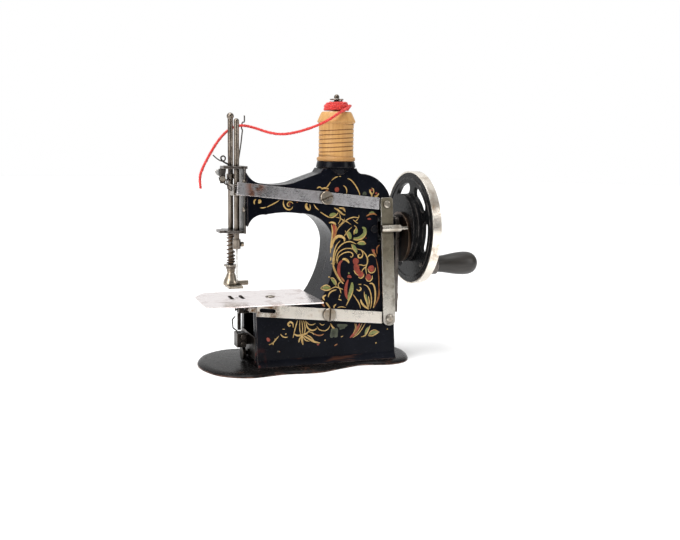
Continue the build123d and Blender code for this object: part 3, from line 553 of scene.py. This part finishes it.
AMBER = [
    (0.3, [(21.0, 64.4), (22.0, 60.0), (22.6, 54.0), (22.6, 47.0), (22.0, 41.0), (20.4, 36.6), (18.8, 34.0)]),
    (0.6, [(18.4, 69.8), (19.8, 67.8), (21.4, 65.4)]), (0.4, [(23.8, 72.7), (21.9, 70.8), (21.9, 67.0)]),
    (0.7, [(-5.0, 84.8), (-4.6, 83.0), (-5.2, 80.0), (-6.2, 77.4)]),
    (0.5, [(15.2, 90.3), (17.6, 91.4), (20.4, 91.7), (22.2, 90.8)]),
    (0.4, [(-20.7, 20.5), (-18.4, 19.4), (-16.0, 19.2), (-14.2, 19.9)]),
    (0.6, [(-1.0, 95.6), (0.4, 95.2), (1.4, 94.0)]), (0.6, [(-15.2, 40.6), (-14.6, 38.2), (-13.2, 36.4)]),
    (0.6, [(-2.2, 53.6), (-1.2, 52.2), (0.0, 51.0)]), (0.4, [(7.0, 25.0), (7.2, 21.8), (5.6, 18.6)]),
    (0.35, [(-42.7, 11.4), (-42.1, 11.0)]), (0.35, [(-7.6, 12.3), (-5.6, 13.3)]),
    (0.6, [(-9.2, 106.4), (-10.8, 105.6)]), (0.3, [(-29.4, 99.2), (-28.4, 99.4)]),
    (0.5, [(22.8, 47.0), (22.4, 41.0), (20.8, 36.8)]),
]
RED = [
    (1.15, [(-6.4, 86.0), (-5.9, 83.6), (-6.2, 80.6), (-6.7, 77.2)]),
    (1.5, [(-4.6, 107.6), (-3.6, 106.6), (-2.8, 105.4)]),
    (0.95, [(-0.9, 63.8), (-2.7, 62.4), (-3.5, 60.0), (-3.7, 57.0), (-3.2, 54.8), (-2.2, 53.0)]),
    (0.9, [(2.0, 53.2), (3.0, 54.0), (4.6, 53.2)]),
    (1.0, [(2.4, 52.0), (1.2, 49.0), (0.6, 46.0), (0.8, 43.0), (1.6, 40.2)]),
    (0.85, [(9.4, 25.0), (7.6, 21.6), (5.0, 18.4), (2.6, 16.6)]),
    (1.0, [(-49.8, 19.8), (-49.0, 18.6), (-48.4, 17.6)]), (0.6, [(-33.9, 98.5), (-33.6, 97.8)]),
    (0.8, [(19.0, 106.9), (19.2, 105.6)]), (0.8, [(21.8, 104.6), (22.6, 103.9)]),
    (0.5, [(-18.9, 13.7), (-17.4, 13.8)]), (0.6, [(16.0, 88.7), (18.4, 88.5)]),
    (0.6, [(19.0, 70.0), (20.4, 68.6)]), (0.3, [(14.6, 77.2), (14.9, 76.6)]),
    (0.5, [(-14.4, 37.4), (-13.4, 36.6)]),
]
RED_DOTS = [
    (7.6, 63.0, 2.0), (7.9, 59.4, 1.9), (8.5, 57.2, 1.8), (10.6, 55.0, 2.0), (17.8, 58.2, 2.0),
    (15.8, 53.0, 1.9),
]
GREEN = [
    (1.3, [(3.2, 81.2), (3.8, 79.0), (4.6, 76.6)]), (1.2, [(7.6, 79.9), (8.2, 81.2), (9.0, 82.6)]),
    (1.2, [(6.4, 77.0), (9.2, 76.7), (12.2, 77.9), (14.0, 80.0), (13.9, 82.6), (12.4, 83.6)]),
    (0.95, [(9.2, 73.7), (11.6, 73.8), (14.2, 73.3)]), (1.05, [(5.6, 73.2), (7.0, 71.2), (8.6, 68.4)]),
    (1.0, [(-8.8, 90.8), (-6.8, 91.6), (-4.4, 91.9)]), (0.8, [(-8.6, 52.8), (-7.0, 51.2), (-6.2, 49.2)]),
    (0.85, [(-14.4, 47.6), (-12.0, 47.8), (-9.4, 47.4)]),
    (1.35, [(4.9, 50.2), (4.7, 47.4), (4.0, 44.4), (2.8, 41.4), (1.9, 39.4)]),
    (0.75, [(13.7, 42.6), (14.0, 39.6), (14.8, 36.0)]), (0.9, [(15.2, 22.4), (13.9, 20.4), (12.7, 17.8)]),
    (0.95, [(15.4, 17.8), (18.0, 18.7), (21.4, 18.9)]), (0.8, [(17.2, 92.0), (19.2, 92.4), (21.0, 91.8)]),
    (0.5, [(2.6, 56.4), (3.2, 55.4)]),
]
OLIVE = [
    (1.7, [(-9.8, 17.4), (-8.2, 20.2), (-8.6, 23.2)]), (1.9, [(-6.0, 17.4), (-7.0, 20.0), (-5.6, 22.8)]),
    (1.2, [(-5.6, 24.9), (-3.0, 24.0), (1.2, 24.3)]), (1.0, [(-4.0, 22.2), (-2.2, 23.2), (-0.4, 22.8)]),
    (0.9, [(13.2, 103.3), (14.6, 104.4), (15.4, 103.0)]), (0.5, [(-43.8, 11.0), (-42.8, 11.6)]),
]


def on_face(x, z, proud):
    """Point on the body's leaning front face, proud mm in front of it."""
    return Vector((x, -(FOOT_HALF - TAPER * z) - proud * cos(LEAN), z + proud * sin(LEAN)))


def brush_strokes(name, strokes, material, proud, dots=()):
    """Thin raised brush strokes with tapered round ends, and filled dots, as one piece."""
    low, high = 0.005, proud
    verts, faces = [], []
    for half, points in strokes:
        line = smooth_line([(x, z, 0) for x, z in points], 7)
        last = len(line) - 1
        start = len(verts)
        for i, here in enumerate(line):
            t = i / last
            ahead = (line[min(i + 1, last)] - line[max(i - 1, 0)]).normalized()
            side = Vector((-ahead.y, ahead.x, 0)) * half * (0.22 + 0.78 * sin(pi * t) ** 0.6)
            for spot in (here - side, here + side):
                verts.append(on_face(spot.x, spot.y, low))
                verts.append(on_face(spot.x, spot.y, high))
        for i in range(last):
            a = start + 4 * i
            for p, q in ((1, 3), (3, 2), (2, 0), (0, 1)):
                faces.append((a + p, a + q, a + 4 + q, a + 4 + p))
        faces.append((start, start + 1, start + 3, start + 2))
        end = start + 4 * last
        faces.append((end, end + 2, end + 3, end + 1))
    for x, z, r in dots:
        start = len(verts)
        around = 22
        for k in range(around):
            a = tau * k / around
            wobble = r * (1 + 0.06 * sin(3 * a + x))
            verts.append(on_face(x + wobble * cos(a), z + wobble * sin(a), low))
            verts.append(on_face(x + wobble * cos(a), z + wobble * sin(a), high))
        for k in range(around):
            a, b = start + 2 * k, start + 2 * ((k + 1) % around)
            faces.append((a, b, b + 1, a + 1))
        faces.append(tuple(start + 2 * k + 1 for k in range(around)))
        faces.append(tuple(start + 2 * k for k in reversed(range(around))))
    return mesh_object(name, verts, faces, material, "root", smooth=False)


def transfer_ink(name, colour, shade, worn=0.35):
    """Printed transfer: mottled ink, worn through to the enamel in flecks."""
    p = Paint(name).set(Roughness=0.38, Coat_Weight=0.4, Coat_Roughness=0.12)
    mottled = p.mix(p.ramp(p.noise(520, 4, 0.6), 0.35, 0.68), colour, shade)
    fleck = p.ramp(p.noise(1500, 3, 0.6), 0.66 - 0.16 * worn, 0.72)
    p.join(p.mix(p.math("MULTIPLY", fleck, 0.85), mottled, (0.02, 0.017, 0.015)), "Base Color")
    return p.finish(fleck, 0.15, 0.00005)


def make_decoration():
    cream = transfer_ink("ink_cream", (0.60, 0.41, 0.15), (0.36, 0.21, 0.05), 0.6)
    amber = transfer_ink("ink_amber", (0.36, 0.15, 0.035), (0.20, 0.06, 0.015), 0.8)
    red = transfer_ink("ink_red", (0.30, 0.040, 0.016), (0.17, 0.020, 0.010), 0.9)
    green = transfer_ink("ink_green", (0.13, 0.16, 0.035), (0.24, 0.24, 0.07), 0.9)
    olive = transfer_ink("ink_olive", (0.060, 0.070, 0.036), (0.030, 0.036, 0.020), 0.7)
    brush_strokes("transfer_olive", OLIVE, olive, 0.02)
    brush_strokes("transfer_green", GREEN, green, 0.03)
    brush_strokes("transfer_red", RED, red, 0.04, RED_DOTS)
    brush_strokes("transfer_amber", AMBER, amber, 0.05)
    brush_strokes("transfer_cream", CREAM, cream, 0.06)


# ---- foot ---------------------------------------------------------------------------------------
def foot_outline():
    """The foot's edge: one side given in mm and mirrored, smoothed into a loop."""
    side = [(-87.1, 0), (-84.5, 14), (-77.5, 26), (-63, 33.6), (-42, 31.8), (-22, 34), (-5, 28.6), (9, 25.2),
            (28, 28.6), (41, 21)]
    loop = side + [(47.1, 0)] + [(x, -y) for x, y in reversed(side[1:])]
    closed = loop[-2:] + loop + loop[:3]
    line = smooth_line([(x, y, 0) for x, y in closed], 12)
    return line[24:24 + 12 * len(loop)]


def make_foot(material):
    """The pressed foot: its top rolls over to the rim, with the sheet's thickness underneath."""
    outline = foot_outline()
    count = len(outline)
    inward = []
    for i, here in enumerate(outline):
        ahead = (outline[(i + 1) % count] - outline[i - 1]).normalized()
        inward.append(Vector((-ahead.y, ahead.x, 0)))
    if inward[0].x < 0:
        inward = [-v for v in inward]
    over = [(0.0, 0.0), (0.04, 0.45), (0.3, 0.95), (0.9, 1.5), (1.8, 1.95), (3.0, 2.32), (4.3, 2.5)]
    under = [(4.3, 1.5), (3.2, 1.38), (2.2, 1.05), (1.5, 0.6), (1.2, 0.0)]
    rows = over + under
    verts, faces = [], []
    for inset, z in rows:
        for here, way in zip(outline, inward):
            spot = here + way * inset
            verts.append((spot.x, spot.y, z))
    for j in range(len(rows)):
        if j == len(over) - 1:
            continue
        k = (j + 1) % len(rows)
        for i in range(count):
            n = (i + 1) % count
            faces.append((j * count + i, j * count + n, k * count + n, k * count + i))
    around, hole_r, hole_x, hole_y = 20, 1.75, -15.8, 25.6
    hole_rings = []
    for level, row in ((over[-1][1], len(over) - 1), (under[0][1], len(over))):
        ring_start = count * row
        loops = [list(range(ring_start, ring_start + count))]
        for y in (hole_y, -hole_y):
            first = len(verts)
            for k in range(around):
                a = tau * k / around
                verts.append((hole_x + hole_r * cos(a), y + hole_r * sin(a), level))
            loops.append(list(range(first, first + around)))
        hole_rings.append(loops[1:])
        flat = [index for loop in loops for index in loop]
        for tri in tessellate_polygon([[Vector(verts[i]) for i in loop] for loop in loops]):
            faces.append(tuple(flat[i] for i in tri))
    for upper, lower in zip(*hole_rings):
        for k in range(around):
            n = (k + 1) % around
            faces.append((upper[k], upper[n], lower[n], lower[k]))
    foot = mesh_object("foot_pressing", verts, faces, material, "root")
    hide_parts("foot_plate")


# ---- spring -------------------------------------------------------------------------------------
def make_spring(material):
    """The presser's coil. It rides on no body: it sits between root and presser_bar."""
    x, y, low, high = -65.1, 8.0, 60.7, 80.5
    turns, per_turn, radius, wire_r = 9.5, 28, 2.25, 0.4
    steps = int(turns * per_turn)
    line = []
    for i in range(steps + 1):
        t = i / steps
        a = tau * turns * t + 0.6
        rise = 0.30 * sin(pi * t * 2) / tau
        line.append(Vector((x + radius * cos(a), y + radius * sin(a),
                            low + wire_r + (high - low - 2 * wire_r) * (t - rise))))
    verts, faces = tube_mesh(line, wire_r, 10)
    spring = mesh_object("coil_spring", verts, faces, material, "root")
    world = spring.matrix_world.copy()
    spring.parent = None
    spring.matrix_world = world
    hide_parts("presser_spring")
    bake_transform(spring)


# ---- spool --------------------------------------------------------------------------------------
def make_spool(wood):
    """Turned spool: flange, barrel with hand-cut slanting grooves, top flange and shoulder."""
    profile = [(2.4, 123.5), (11.2, 123.45), (11.7, 123.8), (11.8, 124.4), (11.8, 125.2),
               (11.5, 125.8), (10.9, 126.0)]
    barrel, first_groove, pitch, deep, half_wide = 10.7, 129.65, 2.55, 0.38, 0.34
    slant = 0.07
    z = 126.2
    while z < 146.2:
        place = (z - first_groove) / pitch
        near = abs(place - round(place)) * pitch
        groove = deep * max(0.0, 1 - (near / half_wide) ** 2) if -0.3 < place < 5.4 else 0.0
        profile.append((barrel - groove, z))
        z += 0.11
    profile += [(11.1, 146.4), (11.2, 146.8), (11.6, 147.0), (11.7, 147.3), (11.6, 147.8), (11.2, 148.6),
                (10.5, 150.2), (9.7, 152.0), (9.1, 153.0), (8.7, 153.25), (2.4, 153.25)]
    verts, faces = lathe(profile, (SPOOL_X, 0, 0), 96)
    for v in verts:
        if 127.5 < v.z < 145.5 and (v.x - SPOOL_X) ** 2 + v.y ** 2 > 60:
            v.z += slant * (v.x - SPOOL_X)
    spool = mesh_object("wooden_spool", verts, faces, wood, "spool")
    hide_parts("spool")


# ---- finishes -----------------------------------------------------------------------------------
def paint(nodes, material):
    for name in nodes.split():
        mesh = NODES[name].data
        mesh.materials.clear()
        mesh.materials.append(material)


def front_stains(p, colour):
    """Reddish rub at the lower left corner and brown streaks along the crease."""
    left = p.ramp(p.axis("X"), -0.0560, -0.0500, 1.0, 0.0)
    band = p.ramp(p.axis("Z"), 0.0050, 0.0160, 1.0, 0.0)
    blot = p.ramp(p.noise(220, 5, 0.65), 0.50, 0.62)
    colour = p.mix(p.math("MULTIPLY", p.math("MULTIPLY", left, band), blot), colour, (0.10, 0.022, 0.014))
    streak = p.ramp(p.noise(300, 4, 0.6, p.stretched(0.12, 1, 1)), 0.58, 0.68, 0.0, 0.7)
    crease = p.ramp(p.axis("Z"), 0.0065, 0.0100, 1.0, 0.0)
    return p.mix(p.math("MULTIPLY", streak, crease), colour, (0.07, 0.028, 0.016))


def foot_stains(p, colour):
    """Copper-brown patches where the black has gone from the top and the rim."""
    patch = p.ramp(p.noise(90, 6, 0.7), 0.56, 0.66, 0.0, 0.8)
    rim = p.ramp(p.axis("Z"), 0.0005, 0.0009, 1.0, 0.0)
    near = p.ramp(p.axis("Y"), -0.030, -0.022, 1.0, 0.25)
    colour = p.mix(p.math("MULTIPLY", patch, near), colour, (0.045, 0.020, 0.013))
    return p.mix(p.math("MULTIPLY", rim, p.ramp(p.noise(260, 4, 0.6), 0.40, 0.55)), colour, (0.13, 0.075, 0.060))


def make_pigtail(material):
    """The thread guide at the head: a tapering wire that turns once on itself and goes on to its tip."""
    line = [(-66.6, 5.0, 120.3), (-67.6, 4.8, 121.2), (-69.2, 4.6, 122.0), (-71.0, 4.4, 123.2), (-71.7, 4.2, 125.0),
            (-70.4, 4.0, 125.9), (-69.2, 3.8, 124.9), (-69.8, 3.4, 123.3), (-71.8, 3.0, 123.0), (-74.2, 2.8, 124.2),
            (-76.8, 2.6, 126.4)]
    root_radius, tip_radius = 0.56, 0.36
    verts, faces = tube_mesh(smooth_line(line, 10), lambda t: root_radius + (tip_radius - root_radius) * t, 12)
    pigtail = mesh_object("pigtail_guide", verts, faces, material, "root")
    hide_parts("short_thread_guide")


def make_end_return(material):
    """The front shell's left edge, rolled inwards beside the looper."""
    rows, steps, thick = 12, 9, 0.8
    edge_x, low, high, deep, bulge = -55.6, 2.6, 38.6, 6.5, 0.75
    verts, faces = [], []
    for side in (0.0, thick):
        for j in range(rows + 1):
            z = low + (high - low) * j / rows
            front = -(FOOT_HALF - TAPER * z) + 0.9
            for i in range(steps + 1):
                t = i / steps
                verts.append((edge_x - bulge * sin(pi * t * 0.9) + side, front + deep * t, z))
    layer = (rows + 1) * (steps + 1)
    for j in range(rows):
        for i in range(steps):
            a = j * (steps + 1) + i
            quad = (a, a + 1, a + steps + 2, a + steps + 1)
            faces.append(quad)
            faces.append(tuple(layer + k for k in reversed(quad)))
    wide = steps + 1
    rim = (list(range(wide)) + [j * wide + steps for j in range(1, rows + 1)]
           + [rows * wide + i for i in reversed(range(steps))] + [j * wide for j in reversed(range(1, rows))])
    for k, here in enumerate(rim):
        after = rim[(k + 1) % len(rim)]
        faces.append((here, after, layer + after, layer + here))
    mesh_object("front_shell_return", verts, faces, material, "root")


def make_finishes():
    body = enamel("body_enamel", (0.0022, 0.0026, 0.0045), (0.17, 0.13, 0.12), 0.7, 0.15, stain=front_stains)
    rear = enamel("rear_enamel", (0.0020, 0.0022, 0.0036), (0.12, 0.10, 0.09), 0.6, 0.17)
    foot = enamel("foot_enamel_gloss", (0.0045, 0.0042, 0.0042), (0.22, 0.12, 0.09), 0.8, 0.20, 0.6, foot_stains)
    wheel = enamel("wheel_enamel", (0.0035, 0.0036, 0.0040), (0.18, 0.16, 0.15), 0.5, 0.17, 0.5)
    top_lever = plated("lever_steel", (0.84, 0.82, 0.84), (0.26, 0.22, 0.22), 0.2, (2, 20, 20), 0.38,
                       (0.97, 0.94, 0.93), warm=(-0.0575, -0.0510, (0.52, 0.25, 0.17)))
    low_lever = plated("lower_lever_nickel", (0.92, 0.86, 0.77), (0.66, 0.56, 0.44), 0.2, (5, 60, 60), 0.08,
                       (0.98, 0.94, 0.88), warm=(-0.0620, -0.0430, (0.20, 0.11, 0.055)))
    link = plated("link_steel", (0.30, 0.27, 0.20), (0.13, 0.105, 0.075), 0.20, (60, 60, 5), 0.5,
                  low=(0.026, 0.066, (0.90, 0.85, 0.77)))
    # painted shade: the dark edge colour rings the rivet domes at their rims
    rivet = plated("rivet_steel", (0.60, 0.56, 0.49), (0.22, 0.17, 0.12), 0.18, tarnish=0.5,
                   edge=(0.10, 0.07, 0.05))
    # painted shade: the dark edge colour rings the screw heads and darkens their slots
    screw = plated("screw_steel", (0.62, 0.58, 0.52), (0.30, 0.21, 0.12), 0.18, tarnish=0.6,
                   edge=(0.13, 0.08, 0.04))
    plate = plated("plate_nickel", (0.94, 0.87, 0.86), (0.55, 0.44, 0.41), 0.10, (40, 10, 40), 0.3)
    bars = plated("bar_steel_worn", (0.26, 0.225, 0.19), (0.085, 0.062, 0.045), 0.19, (120, 120, 3), 0.6)
    bracket = plated("bracket_steel", (0.13, 0.115, 0.105), (0.05, 0.042, 0.036), 0.2, tarnish=0.5,
                     edge=(0.42, 0.38, 0.34))
    oily = plated("oily_steel", (0.035, 0.030, 0.026), (0.014, 0.011, 0.009), 0.3, tarnish=0.6,
                  edge=(0.30, 0.26, 0.22))
    light = plated("lifter_steel", (0.66, 0.65, 0.63), (0.34, 0.31, 0.28), 0.2, tarnish=0.4)
    brass = plated("foot_brass_dull", (0.58, 0.51, 0.41), (0.13, 0.09, 0.06), 0.22, tarnish=0.75,
                   low=(0.0425, 0.0475, (0.09, 0.065, 0.05)))
    tyre = plated("tyre_nickel_warm", (0.90, 0.84, 0.75), (0.34, 0.25, 0.17), 0.12, (20, 60, 60), 0.3)
    rust = plated("spring_rusted", (0.16, 0.105, 0.070), (0.055, 0.03, 0.018), 0.38, tarnish=0.8,
                  edge=(0.32, 0.25, 0.19))
    wires = plated("wire_dark", (0.07, 0.062, 0.058), (0.045, 0.038, 0.033), 0.24, tarnish=0.6,
                   edge=(0.3, 0.28, 0.26))
    cam = plated("cam_brown_steel", (0.085, 0.055, 0.038), (0.028, 0.017, 0.012), 0.22, (60, 6, 6), 0.6,
                 (0.26, 0.19, 0.14))
    grip = turned_wood("grip_wood", (0.030, 0.026, 0.022), (0.008, 0.007, 0.006), 0.32, 0)
    honey = turned_wood("spool_wood", (0.60, 0.34, 0.115), (0.43, 0.21, 0.06), 0.4, 2, spool_tone)
    paint("body_front_shell", body)
    paint("body_rear_shell body_stay_rivet bearing_tube spool_seat", rear)
    paint("handwheel cam_drum", wheel)
    paint("wheel_tyre", tyre)
    paint("eccentric_cam", cam)
    paint("wheel_shaft shaft_nut crank_stud end_bracket head_bracket", bracket)
    paint("looper_slide looper_hook looper_guide looper_thread_wire knob_bracket adjusting_knob "
          "feed_dog looper_guide_screws", oily)
    paint("handle_grip handle_end_cap", grip)
    paint("upper_lever", top_lever)
    paint("lower_lever", low_lever)
    paint("link_bar", link)
    paint("link_rivet_upper link_rivet_lower follower_pin foot_rivets", rivet)
    paint("upper_pivot_screw lower_pivot_screw end_bracket_screw head_bracket_screws "
          "needle_clamp_screw plate_screw lifter_pin", screw)
    paint("needle_bar presser_bar presser_collar needle_clamp needle_bar_driver spring_washer "
          "spool_pin pin_washer", bars)
    paint("needle presser_lifter", light)
    paint("needle_plate", plate)
    paint("presser_foot", brass)
    paint("long_thread_guide tension_hook", wires)
    make_foot(foot)
    make_end_return(body)
    make_spring(rust)
    make_pigtail(wires)
    make_spool(honey)


def spool_tone(p, colour):
    """Darker towards the bottom flange, with painted shade inside the grooves."""
    dark = p.ramp(p.axis("Z"), 0.1230, 0.1275, 0.55, 0.0)
    colour = p.mix(dark, colour, (0.16, 0.065, 0.020))
    # painted shade inside the grooves
    return p.mix(p.crevice_shade(0.0010, 0.62, 0.95), colour, (0.15, 0.06, 0.018))


def wool(name, light, dark):
    p = Paint(name).set(Roughness=0.9, Sheen_Weight=0.45, Sheen_Roughness=0.5, Specular_IOR_Level=0.15)
    strands = p.noise(1600, 4, 0.6)
    p.join(p.mix(p.ramp(strands, 0.35, 0.65), dark, light), "Base Color")
    return p.finish(strands, 0.6, 0.0002)


# ---- room ---------------------------------------------------------------------------------------
def backdrop():
    """A wide pale paper floor."""
    p = Paint("paper").set(Roughness=0.8)
    p.join(p.mix(p.ramp(p.noise(40, 4, 0.5), 0.3, 0.7), (0.92, 0.92, 0.92), (0.89, 0.89, 0.89)), "Base Color")
    mesh = bpy.data.meshes.new("backdrop")
    mesh.from_pydata([(3 * cos(tau * k / 48), 3 * sin(tau * k / 48), 0) for k in range(48)], [], [tuple(range(48))])
    mesh.materials.append(p.finish())
    floor = bpy.data.objects.new("backdrop", mesh)
    SCENE.collection.objects.link(floor)


def lamp(name, place, target, size, power, colour=(1, 1, 1)):
    data = bpy.data.lights.new(name, "AREA")
    data.shape = "RECTANGLE"
    data.size, data.size_y = size[0] * MM, size[1] * MM
    data.energy = power
    data.color = colour
    light = bpy.data.objects.new(name, data)
    where = Vector(place) * MM
    light.location = where
    light.rotation_euler = (Vector(target) * MM - where).to_track_quat("-Z", "Y").to_euler()
    SCENE.collection.objects.link(light)


def lights():
    """White to the eye; reflections see a room dark on the camera's side, bright above and behind."""
    world = bpy.data.worlds.new("room")
    SCENE.world = world
    world.use_nodes = True
    tree = world.node_tree
    direction = tree.nodes.new("ShaderNodeTexCoord").outputs["Generated"]
    split = tree.nodes.new("ShaderNodeSeparateXYZ")
    tree.links.new(direction, split.inputs[0])
    depth = tree.nodes.new("ShaderNodeMapRange")
    for socket, value in (("From Min", -0.25), ("From Max", 0.85), ("To Min", 0.035), ("To Max", 0.9)):
        depth.inputs[socket].default_value = value
    tree.links.new(split.outputs["Y"], depth.inputs["Value"])
    height = tree.nodes.new("ShaderNodeMapRange")
    for socket, value in (("From Min", 0.35), ("From Max", 0.95), ("To Min", 0.0), ("To Max", 0.55)):
        height.inputs[socket].default_value = value
    tree.links.new(split.outputs["Z"], height.inputs["Value"])
    total = tree.nodes.new("ShaderNodeMath")
    tree.links.new(depth.outputs["Result"], total.inputs[0])
    tree.links.new(height.outputs["Result"], total.inputs[1])
    seen = tree.nodes.new("ShaderNodeLightPath")
    strength = tree.nodes.new("ShaderNodeMix")
    tree.links.new(seen.outputs["Is Camera Ray"], strength.inputs["Factor"])
    tree.links.new(total.outputs["Value"], strength.inputs[FLOAT_A])
    strength.inputs[FLOAT_B].default_value = 1.0
    ground = tree.nodes["Background"]
    ground.inputs["Color"].default_value = (1, 1, 1, 1)
    tree.links.new(strength.outputs[FLOAT_OUT], ground.inputs["Strength"])
    data = bpy.data.lights.new("sky_light", "SUN")
    data.energy = 2.6
    data.angle = radians(45)
    sun = bpy.data.objects.new("sky_light", data)
    sun.rotation_euler = (Vector((0.22, 0.12, -1.0))).to_track_quat("-Z", "Y").to_euler()
    SCENE.collection.objects.link(sun)
    lamp("window", (-520, -260, 330), (-10, 0, 70), (260, 420), 2.2, (1.0, 0.99, 0.97))
    lamp("right_card", (420, -420, 260), (20, 0, 80), (160, 360), 0.8)
    SCENE.view_settings.view_transform = "Standard"


make_camera()
make_finishes()
make_decoration()
make_yarn(wool("wool_red", (0.80, 0.055, 0.045), (0.42, 0.012, 0.012)),
          wool("wool_fuzz", (0.90, 0.13, 0.11), (0.80, 0.06, 0.06)))
backdrop()
lights()
